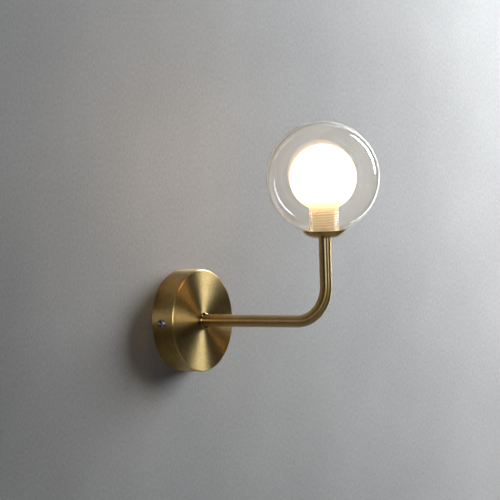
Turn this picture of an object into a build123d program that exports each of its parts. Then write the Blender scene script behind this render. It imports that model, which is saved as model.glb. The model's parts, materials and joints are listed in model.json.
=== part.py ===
from build123d import *
import os
from math import cos, pi, radians, sqrt, tan

# Globe wall sconce: a round brass wall plate, a bent brass arm and a double glass globe.
#
# The wall is the plane y = 0 and the lamp stands out from it towards -Y, with +Z up.
# The origin is on the wall, on the axis of the arm's level run. Lengths are in millimetres.
# Two axes carry nearly everything. The arm axis runs out from the wall, and a distance along
# it is a standoff. The lamp axis is vertical, ARM_REACH out from the wall.

# ---------------------------------------------------------------- driving dimensions

# Canopy: the round wall plate
CANOPY_DIAMETER = 100.0
CANOPY_DEPTH = 25.0
CANOPY_WALL = 1.0
CANOPY_EDGE_RADIUS = 1.2

# Steel bracket that is screwed to the wall
BRACKET_WIDTH = 20.0
BRACKET_THICKNESS = 1.5
BRACKET_BEND_RADIUS = 1.0
BRACKET_CLEARANCE = 0.5      # from the ears' corners to the canopy's wall
EAR_MARGIN = 6.0             # ear beyond the side screw's axis
EAR_ROUNDING = 3.6
FIXING_SPACING = 70.0
FIXING_SLOT_WIDTH = 4.5
FIXING_SLOT_LENGTH = 9.0
FIXING_HEAD_RADIUS = 5.0     # room kept for a wall screw's head
CABLE_HOLE_DIAMETER = 12.0

# Side screws that hold the canopy on the bracket's ears
SIDE_SCREW_STANDOFF = 12.0
SIDE_SCREW_DIAMETER = 4.0
SIDE_SCREW_LENGTH = 10.0
SIDE_HEAD_DIAMETER = 8.0
SIDE_HEAD_HEIGHT = 2.6
SIDE_HOLE_CLEARANCE = 0.3    # around the shank, in the canopy
SIDE_HEAD_GAP = 0.1          # under the head

# Arm: one bent tube with a rounded collar at its foot
ARM_REACH = 172.0            # wall to the lamp axis
ARM_RISE = 80.4              # arm axis to the cup's underside
TUBE_DIAMETER = 12.0
TUBE_WALL = 1.0
TUBE_BEND_RADIUS = 35.0
COLLAR_DIAMETER = 16.4
COLLAR_LENGTH = 4.0
COLLAR_ROUNDING = 1.8

# Pan-head screws, as shares of the head's or the shank's own size
HEAD_ROUNDING = 0.5          # of the head's radius
RECESS_REACH = 0.575         # cross recess, of the head's radius
RECESS_WIDTH = 0.26          # of the head's radius
RECESS_FLOOR = 0.35          # of the head's height
TIP_CHAMFER = 0.25           # of the shank's radius

# Hollow threaded nipples in the tube's ends, with their nuts, washers and bushes
THREAD_CLEARANCE = 0.05
NIPPLE_WALL = 1.5
NIPPLE_ENGAGEMENT = 12.0     # length inside the tube
NIPPLE_PROTRUSION = 0.8      # beyond the last nut
NUT_THICKNESS = 2.5
NUT_WALL = 2.0               # from the thread to the flats
WASHER_THICKNESS = 0.7
WASHER_RIM = 1.0             # washer beyond the nut's flats
WASHER_NOTCHES = 12
BUSH_FLANGE = 1.0
BUSH_LENGTH = 4.0
BUSH_WALL = 0.8

# Cup under the glass
CUP_DIAMETER = 42.8
CUP_DEPTH = 6.8
CUP_WALL = 0.9
CUP_FLAT_DIAMETER = 18.0
SEAT_GAP = 0.3               # between the glass, the gasket and the cup's curve

# Glass: a clear outer globe and a frosted ball with a neck, joined at the foot
GLOBE_DIAMETER = 110.0
GLOBE_WALL = 1.8
BALL_DIAMETER = 64.0
BALL_WALL = 1.6
NECK_DIAMETER = 28.0
NECK_BLEND = 3.0             # rounding between neck and ball
FOOT_FLARE = 2.0             # foot beyond the neck
FOOT_ROUNDING = 0.6
GROOVE_DEPTH = 0.5           # valleys of the moulded thread in the neck
GASKET_THICKNESS = 1.4
GASKET_SETBACK = 0.4         # gasket inside the foot's edge
GASKET_CLEARANCE = 0.6       # gasket around the lampholder's sleeve

# Lampholder: a cap, a threaded sleeve and a ceramic body with two contacts
THREAD_PITCH = 2.5
THREAD_DEPTH = 0.8
THREAD_RISE = 0.3            # share of the pitch where a ridge reaches its crest
THREAD_FALL = 0.5            # share of the pitch where the crest ends
THREAD_FOOT = 0.8            # share of the pitch where the ridge ends
THREAD_START = 4.7           # plain sleeve below the thread
THREAD_END = 2.6             # plain sleeve above the thread
NECK_CLEARANCE = 0.3         # between the sleeve's crests and the glass
SLEEVE_WALL = 0.75           # under the thread
SLEEVE_LENGTH = 24.8
SLEEVE_LIP = 1.6             # lip over the ceramic body's shoulder
SLEEVE_LIP_THICKNESS = 1.2
HOLDER_PLATE = 1.2
HOLDER_CLEARANCE = 0.1
CAP_WALL = 1.2
CAP_HEIGHT = 7.2
SPIGOT_RISE = 0.4            # ceramic above the sleeve
CHAMBER_DEPTH = 6.5          # wiring space under the contacts
CHAMBER_WALL = 2.4

# Bulb with two wire-loop pins, and the contacts that grip them
PIN_SPACING = 9.0
PIN_DIAMETER = 0.9
PIN_LOOP_WIDTH = 2.4
PIN_LENGTH = 10.9
PIN_ROOT = 2.0               # pin inside the bulb's base
PIN_CLEARANCE = 0.05
CONTACT_THICKNESS = 0.5
CONTACT_WIDTH = 5.0
CONTACT_HEIGHT = 8.3
CONTACT_CLEARANCE = 0.3
BULB_GAP = 0.2               # between the bulb's base and the lampholder
BULB_BASE_DIAMETER = 15.0
BULB_BASE_HEIGHT = 10.0
BULB_BASE_ROUNDING = 0.8
BULB_DIAMETER = 16.0
BULB_HEIGHT = 42.0           # without the pins
BULB_WALL = 1.0
BOARD_WIDTH = 10.0
BOARD_THICKNESS = 1.2
BOARD_HEADROOM = 1.5         # board below the dome
LED_SIZE = 2.8
LED_THICKNESS = 0.8
LED_PITCH = 4.4

# Terminal block on the bracket
POLE_PITCH = 8.0
BLOCK_HEIGHT = 16.0
BLOCK_BASE = 8.0             # depth of the block's base, out from the strap
BLOCK_MARGIN = 1.0           # base beyond the turrets
TURRET_HEIGHT = 4.5
TURRET_RADIUS = 3.0
TURRET_SPACING = 9.0
INSERT_RADIUS = 2.2
INSERT_BORE_RADIUS = 1.15
INSERT_MARGIN = 1.0          # insert short of the block's ends
POLE_OFFSET = 0.5            # poles towards the turrets from the base's middle
CLAMP_SCREW_RADIUS = 1.3
CLAMP_SCREW_RECESS = 1.0
CLAMP_SLOT_WIDTH = 0.65
CLAMP_SLOT_DEPTH = 1.3
BLOCK_SCREW_RADIUS = 1.45
BLOCK_HEAD_RADIUS = 2.3
BLOCK_HEAD_HEIGHT = 1.6

# Earth screw, its ring terminals, and the wires
EARTH_SCREW_OFFSET = 16.0
EARTH_SCREW_DIAMETER = 4.0
EARTH_HEAD_DIAMETER = 7.6
EARTH_HEAD_HEIGHT = 2.4
LUG_THICKNESS = 0.8
LUG_RIM = 1.8
LUG_BARREL_LENGTH = 6.0
LUG_BARREL_WALL = 0.5
LUG_HEAD_CLEARANCE = 0.5     # from the head or nut on the ring to the barrel
BACK_CLEARANCE = 0.2         # screw tips short of the wall
WIRE_DIAMETER = 1.9
WIRE_SPREAD = 2.2            # centre to centre of the two lamp wires
WIRE_CLEARANCE = 0.05
WIRE_GRIP = 4.0              # wire inside its pole
WIRE_SPREAD_START = 0.55     # share of the holder's wiring space below the spread wires' ends
LIVE_LOOP_TOP = 20.0         # highest run of each wire in the canopy
NEUTRAL_LOOP_TOP = 26.0
EARTH_LOOP_TOP = 27.0
EARTH_LOOP_WIDTH = 13.0      # earth wire's loop to the right of its screw
EARTH_LOOP_BACK = 4.0        # earth wire's last bend out from the strap's barrel

# Limits that keep a rounding clear of its own piece's far side
EDGE_LIMIT = 1.4             # of the wall that it rounds
RIM_LIMIT = 0.48             # of a short width
STEP_LIMIT = 0.9             # of a step's height
SAME_PLACE = 0.01            # edges this close to a place are at it

# ---------------------------------------------------------------- derived places

canopy_radius = CANOPY_DIAMETER / 2
canopy_bore = canopy_radius - CANOPY_WALL
canopy_floor = CANOPY_DEPTH - CANOPY_WALL
ear_face = sqrt(canopy_bore ** 2 - (BRACKET_WIDTH / 2) ** 2) - BRACKET_CLEARANCE
ear_length = SIDE_SCREW_STANDOFF + EAR_MARGIN

tube_radius = TUBE_DIAMETER / 2
tube_bore = tube_radius - TUBE_WALL
nipple_radius = tube_bore - THREAD_CLEARANCE
nipple_bore = nipple_radius - NIPPLE_WALL
bush_bore = nipple_bore - THREAD_CLEARANCE - BUSH_WALL
nut_flats = 2 * (nipple_radius + NUT_WALL)
nut_corners = nut_flats / 2 / cos(pi / 6)
washer_radius = nut_flats / 2 + WASHER_RIM

# Stack behind the canopy's face, from the face back towards the wall
arm_lug_face = canopy_floor - WASHER_THICKNESS
canopy_nut_face = arm_lug_face - LUG_THICKNESS
base_nipple_back = canopy_nut_face - NUT_THICKNESS - NIPPLE_PROTRUSION

# Stack in the cup, from its floor upwards
cup_floor = ARM_RISE + CUP_WALL
holder_base = cup_floor + NUT_THICKNESS
holder_washer_base = holder_base + HOLDER_PLATE
holder_nut_base = holder_washer_base + WASHER_THICKNESS
top_nipple_end = holder_nut_base + NUT_THICKNESS + NIPPLE_PROTRUSION

# Cup's curve: an arc that leaves the flat bottom level and ends at the rim
cup_radius = CUP_DIAMETER / 2
cup_flat = CUP_FLAT_DIAMETER / 2
cup_rim = ARM_RISE + CUP_DEPTH
cup_arc_radius = ((cup_radius - cup_flat) ** 2 + CUP_DEPTH ** 2) / (2 * CUP_DEPTH)
cup_inner_arc_radius = cup_arc_radius - CUP_WALL
cup_arc_centre = ARM_RISE + cup_arc_radius

# Glass, seated over the rim
globe_radius = GLOBE_DIAMETER / 2
globe_bore = globe_radius - GLOBE_WALL
globe_centre = cup_rim + sqrt((globe_radius + SEAT_GAP) ** 2 - cup_radius ** 2)
ball_radius = BALL_DIAMETER / 2
ball_bore = ball_radius - BALL_WALL
neck_radius = NECK_DIAMETER / 2
neck_bore = neck_radius - BALL_WALL
foot_radius = neck_radius + FOOT_FLARE
foot_top = globe_centre - sqrt(globe_bore ** 2 - foot_radius ** 2)
gasket_radius = foot_radius - GASKET_SETBACK
gasket_reach = gasket_radius - cup_flat
gasket_base = cup_arc_centre + SEAT_GAP - sqrt(cup_inner_arc_radius ** 2 - gasket_reach ** 2)
foot_base = gasket_base + GASKET_THICKNESS

# Lampholder
crest_radius = neck_bore - NECK_CLEARANCE
root_radius = crest_radius - THREAD_DEPTH
sleeve_bore = root_radius - SLEEVE_WALL
sleeve_top = holder_base + SLEEVE_LENGTH
lip_underside = sleeve_top - SLEEVE_LIP_THICKNESS
holder_radius = sleeve_bore - HOLDER_CLEARANCE
spigot_radius = sleeve_bore - SLEEVE_LIP - HOLDER_CLEARANCE
cap_top = holder_base + CAP_HEIGHT
body_top = sleeve_top + SPIGOT_RISE
contact_base = cap_top + CHAMBER_DEPTH
contact_top = contact_base + CONTACT_HEIGHT
contact_gap = PIN_DIAMETER + 2 * PIN_CLEARANCE
contact_depth = contact_gap + 2 * CONTACT_THICKNESS
thread_bottom = holder_base + THREAD_START
thread_turns = int((SLEEVE_LENGTH - THREAD_START - THREAD_END) / THREAD_PITCH)

# Bulb
bulb_bottom = body_top + BULB_GAP
bulb_shoulder = bulb_bottom + BULB_BASE_HEIGHT
bulb_radius = BULB_DIAMETER / 2
dome_centre = bulb_bottom + BULB_HEIGHT - bulb_radius
pin_radius = PIN_DIAMETER / 2
loop_radius = PIN_LOOP_WIDTH / 2

# Terminal block, beside the left-hand wall screw
block_width = POLE_PITCH + 2 * (TURRET_RADIUS + BLOCK_MARGIN)
block_centre = FIXING_HEAD_RADIUS + block_width / 2 - FIXING_SPACING / 2
block_face = BRACKET_THICKNESS + BLOCK_BASE
pole_standoff = BRACKET_THICKNESS + BLOCK_BASE / 2 + POLE_OFFSET
wire_radius = WIRE_DIAMETER / 2
barrel_bore = wire_radius + WIRE_CLEARANCE
barrel_radius = barrel_bore + LUG_BARREL_WALL


# ---------------------------------------------------------------- shared shapes

def on_wall(shape):
    """Turn a shape built along +Z so that its height becomes its standoff from the wall."""
    return Rot(90, 0, 0) * shape


def on_lamp(shape):
    """Carry a shape built about the Z axis to the lamp axis."""
    return Pos(0, -ARM_REACH, 0) * shape


def rod(radius, low, high):
    """Cylinder about Z between two heights."""
    return Pos(0, 0, (low + high) / 2) * Cylinder(radius, high - low)


def ring(outer, inner, low, high):
    return rod(outer, low, high) - rod(inner, low, high)


def block(width, depth, low, high):
    """Box centred on Z between two heights."""
    return Pos(0, 0, (low + high) / 2) * Box(width, depth, high - low)


def cross_rod(radius, length):
    """Cylinder along X, centred on the origin."""
    return Rot(0, 90, 0) * Cylinder(radius, length)


def rims(shape, radius, height):
    """The circular edges of this radius about Z at this height."""
    found = ShapeList()
    for edge in shape.edges().filter_by(GeomType.CIRCLE):
        if abs(edge.arc_center.Z - height) < SAME_PLACE and abs(edge.radius - radius) < SAME_PLACE:
            found.append(edge)
    return found


def level_edges(shape, axis, height):
    """The straight edges along this axis at this height."""
    found = ShapeList()
    for edge in shape.edges().filter_by(axis):
        if abs(edge.center().Z - height) < SAME_PLACE:
            found.append(edge)
    return found


def hex_nut(low):
    """Nut on a nipple's thread, with its corners turned down."""
    turning = rod(nut_corners, 0, NUT_THICKNESS)
    turning = chamfer(turning.edges().filter_by(GeomType.CIRCLE), (nut_corners - nut_flats / 2) / 2)
    flats = extrude(RegularPolygon(nut_flats / 2, 6, major_radius=False), NUT_THICKNESS)
    nut = (turning & flats) - rod(nipple_radius + THREAD_CLEARANCE, 0, NUT_THICKNESS)
    return Pos(0, 0, low) * nut


def lock_washer(low):
    """Flat washer with notches all round its rim."""
    high = low + WASHER_THICKNESS
    washer = ring(washer_radius, nipple_radius + THREAD_CLEARANCE, low, high)
    notch_radius = pi * washer_radius / WASHER_NOTCHES / 2
    for index in range(WASHER_NOTCHES):
        notch = Pos(washer_radius, 0, 0) * rod(notch_radius, low, high)
        washer -= Rot(0, 0, index * 360 / WASHER_NOTCHES) * notch
    return washer


def wire_bush(end, inward):
    """Flanged bush on a nipple's end; inward is +1 where the nipple lies above the end."""
    flange = sorted([end, end - inward * BUSH_FLANGE])
    sleeve = sorted([end, end + inward * (BUSH_LENGTH - BUSH_FLANGE)])
    bush = rod(nipple_radius, *flange) + rod(nipple_bore - THREAD_CLEARANCE, *sleeve)
    return bush - rod(bush_bore, end - BUSH_LENGTH, end + BUSH_LENGTH)


def pan_head_screw(shank_radius, shank_length, head_radius, head_height):
    """Screw along Z: its rounded head with a cross recess is above z = 0, its shank below."""
    head = rod(head_radius, 0, head_height)
    rounding = min(head_height * STEP_LIMIT, head_radius * HEAD_ROUNDING)
    head = fillet(rims(head, head_radius, head_height), rounding)
    bar = block(
        2 * head_radius * RECESS_REACH, head_radius * RECESS_WIDTH,
        head_height * RECESS_FLOOR, head_height)
    for turn in (0, 90):
        head -= Rot(0, 0, turn) * bar
    shank = rod(shank_radius, -shank_length, 0)
    return head + chamfer(rims(shank, shank_radius, -shank_length), shank_radius * TIP_CHAMFER)


def ring_terminal(hole_radius, head_radius):
    """Flat ring at z = 0 with a round barrel along +X, clear of the head or nut on the ring."""
    plate = ring(hole_radius + LUG_RIM, hole_radius, 0, LUG_THICKNESS)
    mouth = barrel_mouth(head_radius)
    tongue = Pos(mouth / 2, 0, 0) * block(mouth, 2 * barrel_bore, 0, LUG_THICKNESS)
    tongue -= rod(hole_radius, 0, LUG_THICKNESS)
    barrel = cross_rod(barrel_radius, LUG_BARREL_LENGTH)
    channel = cross_rod(barrel_bore, LUG_BARREL_LENGTH)
    lift = Pos(mouth - LUG_BARREL_LENGTH / 2, 0, barrel_radius)
    return plate + (tongue + lift * barrel - lift * channel)


def barrel_mouth(head_radius):
    """Distance from a ring terminal's centre to its barrel's open end."""
    return head_radius + LUG_HEAD_CLEARANCE + LUG_BARREL_LENGTH


def wire(points, radii):
    """Round wire along straight runs joined by tangent arcs."""
    path = FilletPolyline(*points, radius=radii)
    section = Plane(path @ 0, z_dir=path % 0) * Circle(wire_radius)
    solid = sweep(section, path=path)
    share = solid.volume / (pi * wire_radius ** 2 * path.length)
    print("wire length %.1f, volume over section x length %.4f, radii" % (path.length, share),
          [round(radius, 1) for radius in radii])
    return solid


def corner_radii(points, share=0.45):
    """The largest arc for each corner that leaves its neighbours' arcs room."""
    radii = []
    for before, corner, after in zip(points, points[1:], points[2:]):
        arriving = Vector(*corner) - Vector(*before)
        leaving = Vector(*after) - Vector(*corner)
        half_turn = radians(arriving.get_angle(leaving)) / 2
        radii.append(share * min(arriving.length, leaving.length) / tan(half_turn))
    return radii


# ---------------------------------------------------------------- wall side

def make_canopy():
    shell = rod(canopy_radius, 0, CANOPY_DEPTH)
    edge_radius = min(CANOPY_EDGE_RADIUS, EDGE_LIMIT * CANOPY_WALL)
    shell = fillet(rims(shell, canopy_radius, CANOPY_DEPTH), edge_radius)
    shell -= rod(canopy_bore, 0, canopy_floor)
    shell -= rod(nipple_radius + THREAD_CLEARANCE, canopy_floor, CANOPY_DEPTH)
    side_hole = cross_rod(SIDE_SCREW_DIAMETER / 2 + SIDE_HOLE_CLEARANCE, 2 * CANOPY_DIAMETER)
    return on_wall(shell - Pos(0, 0, SIDE_SCREW_STANDOFF) * side_hole)


def make_wall_bracket():
    """Strap across the wall plate with an ear bent out at each end."""
    strap = block(2 * ear_face, BRACKET_WIDTH, 0, ear_length)
    strap = fillet(level_edges(strap, Axis.Y, 0), BRACKET_BEND_RADIUS + BRACKET_THICKNESS)
    room_width = 2 * (ear_face - BRACKET_THICKNESS)
    room = block(room_width, 2 * BRACKET_WIDTH, BRACKET_THICKNESS, 2 * ear_length)
    strap -= fillet(level_edges(room, Axis.Y, BRACKET_THICKNESS), BRACKET_BEND_RADIUS)
    strap = fillet(level_edges(strap, Axis.X, ear_length), min(EAR_ROUNDING, BRACKET_WIDTH * RIM_LIMIT))
    slot = extrude(SlotOverall(FIXING_SLOT_LENGTH, FIXING_SLOT_WIDTH), BRACKET_THICKNESS)
    for side in (-1, 1):
        strap -= Pos(side * FIXING_SPACING / 2, 0, 0) * slot
    strap -= rod(CABLE_HOLE_DIAMETER / 2, 0, BRACKET_THICKNESS)
    earth_hole = rod(EARTH_SCREW_DIAMETER / 2 + THREAD_CLEARANCE, 0, BRACKET_THICKNESS)
    strap -= Pos(EARTH_SCREW_OFFSET, 0, 0) * earth_hole
    strap -= Pos(block_centre, 0, 0) * rod(BLOCK_SCREW_RADIUS + THREAD_CLEARANCE, 0, BRACKET_THICKNESS)
    tapped = cross_rod(SIDE_SCREW_DIAMETER / 2 + THREAD_CLEARANCE, 2 * CANOPY_DIAMETER)
    return on_wall(strap - Pos(0, 0, SIDE_SCREW_STANDOFF) * tapped)


def make_side_screw(side):
    """Side screw along X; side is -1 for the left one and +1 for the right one."""
    screw = pan_head_screw(
        SIDE_SCREW_DIAMETER / 2, SIDE_SCREW_LENGTH, SIDE_HEAD_DIAMETER / 2, SIDE_HEAD_HEIGHT)
    seat = Pos(side * (canopy_radius + SIDE_HEAD_GAP), -SIDE_SCREW_STANDOFF, 0)
    return seat * Rot(0, side * 90, 0) * screw


def make_terminal_block():
    """Two-pole block: a base on the strap and a round turret over each clamp screw."""
    base = block(block_width, BLOCK_HEIGHT, BRACKET_THICKNESS, block_face)
    base = fillet(base.edges().filter_by(Axis.Z), BLOCK_MARGIN)
    turret_top = block_face + TURRET_HEIGHT
    for x, y in clamp_places():
        base += Pos(x, y, 0) * rod(TURRET_RADIUS, block_face, turret_top)
    for x, y in clamp_places():
        base -= Pos(x, y, 0) * rod(CLAMP_SCREW_RADIUS + WIRE_CLEARANCE, pole_standoff, turret_top)
    for x in pole_places():
        bore = Rot(90, 0, 0) * Cylinder(INSERT_RADIUS, BLOCK_HEIGHT - 2 * INSERT_MARGIN)
        mouth = Rot(90, 0, 0) * Cylinder(wire_radius + 2 * WIRE_CLEARANCE, BLOCK_HEIGHT)
        base -= Pos(x, 0, pole_standoff) * (bore + mouth)
    base -= rod(BLOCK_SCREW_RADIUS + THREAD_CLEARANCE, BRACKET_THICKNESS, block_face)
    return on_wall(Pos(block_centre, 0, 0) * base)


def pole_places():
    """Distance of each pole from the block's centre, across the strap."""
    return (-POLE_PITCH / 2, POLE_PITCH / 2)


def clamp_places():
    """Each clamp screw's place from the block's centre."""
    return [(x, y) for x in pole_places() for y in (-TURRET_SPACING / 2, TURRET_SPACING / 2)]


def make_terminal_inserts():
    inserts = []
    for x in pole_places():
        length = BLOCK_HEIGHT - 2 * INSERT_MARGIN
        insert = Rot(90, 0, 0) * (Cylinder(INSERT_RADIUS, length) - Cylinder(INSERT_BORE_RADIUS, length))
        insert = Pos(block_centre + x, 0, pole_standoff) * insert
        for clamp_x, y in clamp_places():
            hole = rod(CLAMP_SCREW_RADIUS + WIRE_CLEARANCE, pole_standoff, block_face)
            insert -= Pos(block_centre + clamp_x, y, 0) * hole
        inserts.append(on_wall(insert))
    return inserts


def make_terminal_screws():
    """Headless slotted screws, standing on the wires' level."""
    screws = []
    low = pole_standoff + wire_radius + WIRE_CLEARANCE
    high = block_face + TURRET_HEIGHT - CLAMP_SCREW_RECESS
    for x, y in clamp_places():
        screw = rod(CLAMP_SCREW_RADIUS, low, high)
        screw -= block(2 * CLAMP_SCREW_RADIUS, CLAMP_SLOT_WIDTH, high - CLAMP_SLOT_DEPTH, high)
        screws.append(on_wall(Pos(block_centre + x, y, 0) * screw))
    return screws


def make_block_screw():
    screw = pan_head_screw(
        BLOCK_SCREW_RADIUS, block_face - BACK_CLEARANCE, BLOCK_HEAD_RADIUS, BLOCK_HEAD_HEIGHT)
    return on_wall(Pos(block_centre, 0, block_face) * screw)


def make_earth_screw():
    head_seat = BRACKET_THICKNESS + LUG_THICKNESS
    screw = pan_head_screw(
        EARTH_SCREW_DIAMETER / 2, head_seat - BACK_CLEARANCE, EARTH_HEAD_DIAMETER / 2, EARTH_HEAD_HEIGHT)
    return on_wall(Pos(EARTH_SCREW_OFFSET, 0, head_seat) * screw)


def make_earth_lug_bracket():
    """Ring terminal under the earth screw, with its barrel upwards."""
    lug = ring_terminal(EARTH_SCREW_DIAMETER / 2 + WIRE_CLEARANCE, EARTH_HEAD_DIAMETER / 2)
    return on_wall(Pos(EARTH_SCREW_OFFSET, 0, BRACKET_THICKNESS) * Rot(0, 0, 90) * lug)


def make_earth_lug_arm():
    """Ring terminal under the canopy's nut, with its barrel to the right and towards the wall."""
    lug = ring_terminal(nipple_radius + THREAD_CLEARANCE, nut_corners)
    return on_wall(Pos(0, 0, arm_lug_face) * Rot(180, 0, 0) * lug)


# ---------------------------------------------------------------- arm

def make_arm_tube():
    path = FilletPolyline(
        (0, -CANOPY_DEPTH, 0), (0, -ARM_REACH, 0), (0, -ARM_REACH, ARM_RISE), radius=TUBE_BEND_RADIUS)
    start = Plane(path @ 0, z_dir=path % 0)
    outside = sweep(start * Circle(tube_radius), path=path)
    return outside - sweep(start * Circle(tube_bore), path=path)


def make_arm_collar():
    """Rounded ring around the tube, against the canopy's face."""
    radius = COLLAR_DIAMETER / 2
    far_end = CANOPY_DEPTH + COLLAR_LENGTH
    collar = rod(radius, CANOPY_DEPTH, far_end)
    bore = tube_radius + THREAD_CLEARANCE
    rounding = min(COLLAR_ROUNDING, COLLAR_LENGTH * RIM_LIMIT, (radius - bore) * STEP_LIMIT)
    collar = fillet(rims(collar, radius, CANOPY_DEPTH) + rims(collar, radius, far_end), rounding)
    return on_wall(collar - rod(bore, CANOPY_DEPTH, far_end))


def make_base_nipple():
    return on_wall(ring(nipple_radius, nipple_bore, base_nipple_back, CANOPY_DEPTH + NIPPLE_ENGAGEMENT))


def make_top_nipple():
    return on_lamp(ring(nipple_radius, nipple_bore, ARM_RISE - NIPPLE_ENGAGEMENT, top_nipple_end))


# ---------------------------------------------------------------- cup and lampholder

def cup_arc(arc_radius, end_radius):
    """Arc about the cup's curve centre, from the flat to this distance from the lamp axis."""
    reach = end_radius - cup_flat
    points = []
    for share in (0, 0.5, 1):
        height = cup_arc_centre - sqrt(arc_radius ** 2 - (share * reach) ** 2)
        points.append((cup_flat + share * reach, height))
    return ThreePointArc(*points)


def make_cup():
    """Spun dish around the nipple; its rim is cut to a sharp edge that follows the globe."""
    hole_radius = nipple_radius + THREAD_CLEARANCE
    inner_rim = cup_flat + sqrt(cup_inner_arc_radius ** 2 - (cup_arc_centre - cup_rim) ** 2)
    section = make_face([
        Line((hole_radius, ARM_RISE), (cup_flat, ARM_RISE)),
        cup_arc(cup_arc_radius, cup_radius),
        Line((cup_radius, cup_rim), (inner_rim, cup_rim)),
        cup_arc(cup_inner_arc_radius, inner_rim),
        Line((cup_flat, cup_floor), (hole_radius, cup_floor)),
        Line((hole_radius, cup_floor), (hole_radius, ARM_RISE)),
    ])
    dish = revolve(Plane.XZ * section, Axis.Z)
    return on_lamp(dish - Pos(0, 0, globe_centre) * Sphere(globe_radius + SEAT_GAP))


def make_holder_cap():
    """Lower half of the lampholder, clamped between the two nuts on the nipple."""
    cap = rod(holder_radius, holder_base, cap_top)
    cap -= rod(holder_radius - CAP_WALL, holder_washer_base, cap_top)
    return on_lamp(cap - rod(nipple_radius + THREAD_CLEARANCE, holder_base, holder_washer_base))


def make_holder_sleeve():
    """Threaded sleeve that traps the ceramic body; plain ridges stand for its thread."""
    points = [(sleeve_bore, holder_base), (root_radius, holder_base)]
    for turn in range(thread_turns):
        foot = thread_bottom + turn * THREAD_PITCH
        points += [
            (root_radius, foot),
            (crest_radius, foot + THREAD_PITCH * THREAD_RISE),
            (crest_radius, foot + THREAD_PITCH * THREAD_FALL),
            (root_radius, foot + THREAD_PITCH * THREAD_FOOT),
        ]
    points += [
        (root_radius, sleeve_top),
        (sleeve_bore - SLEEVE_LIP, sleeve_top),
        (sleeve_bore - SLEEVE_LIP, lip_underside),
        (sleeve_bore, lip_underside),
    ]
    section = make_face(Polyline(*points, close=True))
    return on_lamp(revolve(Plane.XZ * section, Axis.Z))


def pin_places():
    return (-PIN_SPACING / 2, PIN_SPACING / 2)


def make_lampholder_body():
    """Ceramic body: a shoulder under the sleeve's lip, a wiring chamber and two pin slots."""
    body = rod(holder_radius, cap_top, lip_underside) + rod(spigot_radius, lip_underside, body_top)
    body -= rod(holder_radius - CHAMBER_WALL, cap_top, contact_base)
    pocket_depth = contact_depth + 2 * CONTACT_CLEARANCE
    pocket_width = CONTACT_WIDTH + 2 * CONTACT_CLEARANCE
    slot_depth = PIN_DIAMETER + 2 * CONTACT_CLEARANCE
    slot_width = PIN_LOOP_WIDTH + PIN_DIAMETER + 2 * CONTACT_CLEARANCE
    for x in pin_places():
        body -= Pos(x, 0, 0) * block(pocket_depth, pocket_width, contact_base, contact_top)
        body -= Pos(x, 0, 0) * block(slot_depth, slot_width, contact_top, body_top)
    return on_lamp(body)


def make_lampholder_contacts():
    """Two spring clips, each a narrow channel that grips one wire loop."""
    contacts = []
    for x in pin_places():
        channel = block(contact_depth, CONTACT_WIDTH, contact_base, contact_top)
        channel -= block(contact_gap, CONTACT_WIDTH, contact_base + CONTACT_THICKNESS, contact_top)
        contacts.append(on_lamp(Pos(x, 0, 0) * channel))
    return contacts


# ---------------------------------------------------------------- glass

def make_outer_globe():
    shell = Sphere(globe_radius) - Sphere(globe_bore)
    opening = rod(foot_radius, -2 * globe_radius, 0)
    return on_lamp(Pos(0, 0, globe_centre) * (shell - opening))


def make_inner_globe():
    """Frosted ball, threaded neck and flared foot in one glass."""
    glass = Pos(0, 0, globe_centre) * Sphere(ball_radius) + rod(neck_radius, foot_base, globe_centre)
    glass += rod(foot_radius, foot_base, foot_top)
    neck_top = globe_centre - sqrt(ball_radius ** 2 - neck_radius ** 2)
    glass = fillet(rims(glass, neck_radius, neck_top), NECK_BLEND)
    glass = fillet(rims(glass, neck_radius, foot_top), FOOT_FLARE * STEP_LIMIT)
    foot_rounding = min(FOOT_ROUNDING, (foot_top - foot_base) * RIM_LIMIT)
    glass = fillet(rims(glass, foot_radius, foot_base), foot_rounding)
    hollow = Pos(0, 0, globe_centre) * Sphere(ball_bore) + rod(neck_bore, foot_base, globe_centre)
    for turn in range(thread_turns):
        hollow += neck_groove(thread_bottom + turn * THREAD_PITCH)
    return on_lamp(glass - hollow)


def neck_groove(low):
    """Valley of the moulded thread: a shallow ring with sloping sides."""
    section = make_face(Polyline(
        (neck_bore - GROOVE_DEPTH, low),
        (neck_bore, low),
        (neck_bore + GROOVE_DEPTH, low + THREAD_PITCH * THREAD_RISE),
        (neck_bore + GROOVE_DEPTH, low + THREAD_PITCH * THREAD_FALL),
        (neck_bore, low + THREAD_PITCH * THREAD_FOOT),
        (neck_bore - GROOVE_DEPTH, low + THREAD_PITCH * THREAD_FOOT),
        close=True))
    return revolve(Plane.XZ * section, Axis.Z)


def make_shade_gasket():
    gasket = ring(gasket_radius, crest_radius + GASKET_CLEARANCE, gasket_base, foot_base)
    return on_lamp(gasket)


# ---------------------------------------------------------------- bulb

def make_bulb_base():
    base = rod(BULB_BASE_DIAMETER / 2, bulb_bottom, bulb_shoulder)
    base = fillet(rims(base, BULB_BASE_DIAMETER / 2, bulb_bottom), BULB_BASE_ROUNDING)
    for x in pin_places():
        for y in (-loop_radius, loop_radius):
            hole = rod(pin_radius + PIN_CLEARANCE, bulb_bottom, bulb_bottom + PIN_ROOT)
            base -= Pos(x, y, 0) * hole
    return on_lamp(base)


def make_bulb_pins():
    """Two U-shaped wire loops that stand in the base's underside."""
    low = bulb_bottom - PIN_LENGTH + loop_radius + pin_radius
    high = bulb_bottom + PIN_ROOT
    path = Wire([
        Line((0, -loop_radius, high), (0, -loop_radius, low)),
        ThreePointArc((0, -loop_radius, low), (0, 0, low - loop_radius), (0, loop_radius, low)),
        Line((0, loop_radius, low), (0, loop_radius, high)),
    ])
    loop = sweep(Plane(path @ 0, z_dir=path % 0) * Circle(pin_radius), path=path)
    return [on_lamp(Pos(x, 0, 0) * loop) for x in pin_places()]


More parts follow.
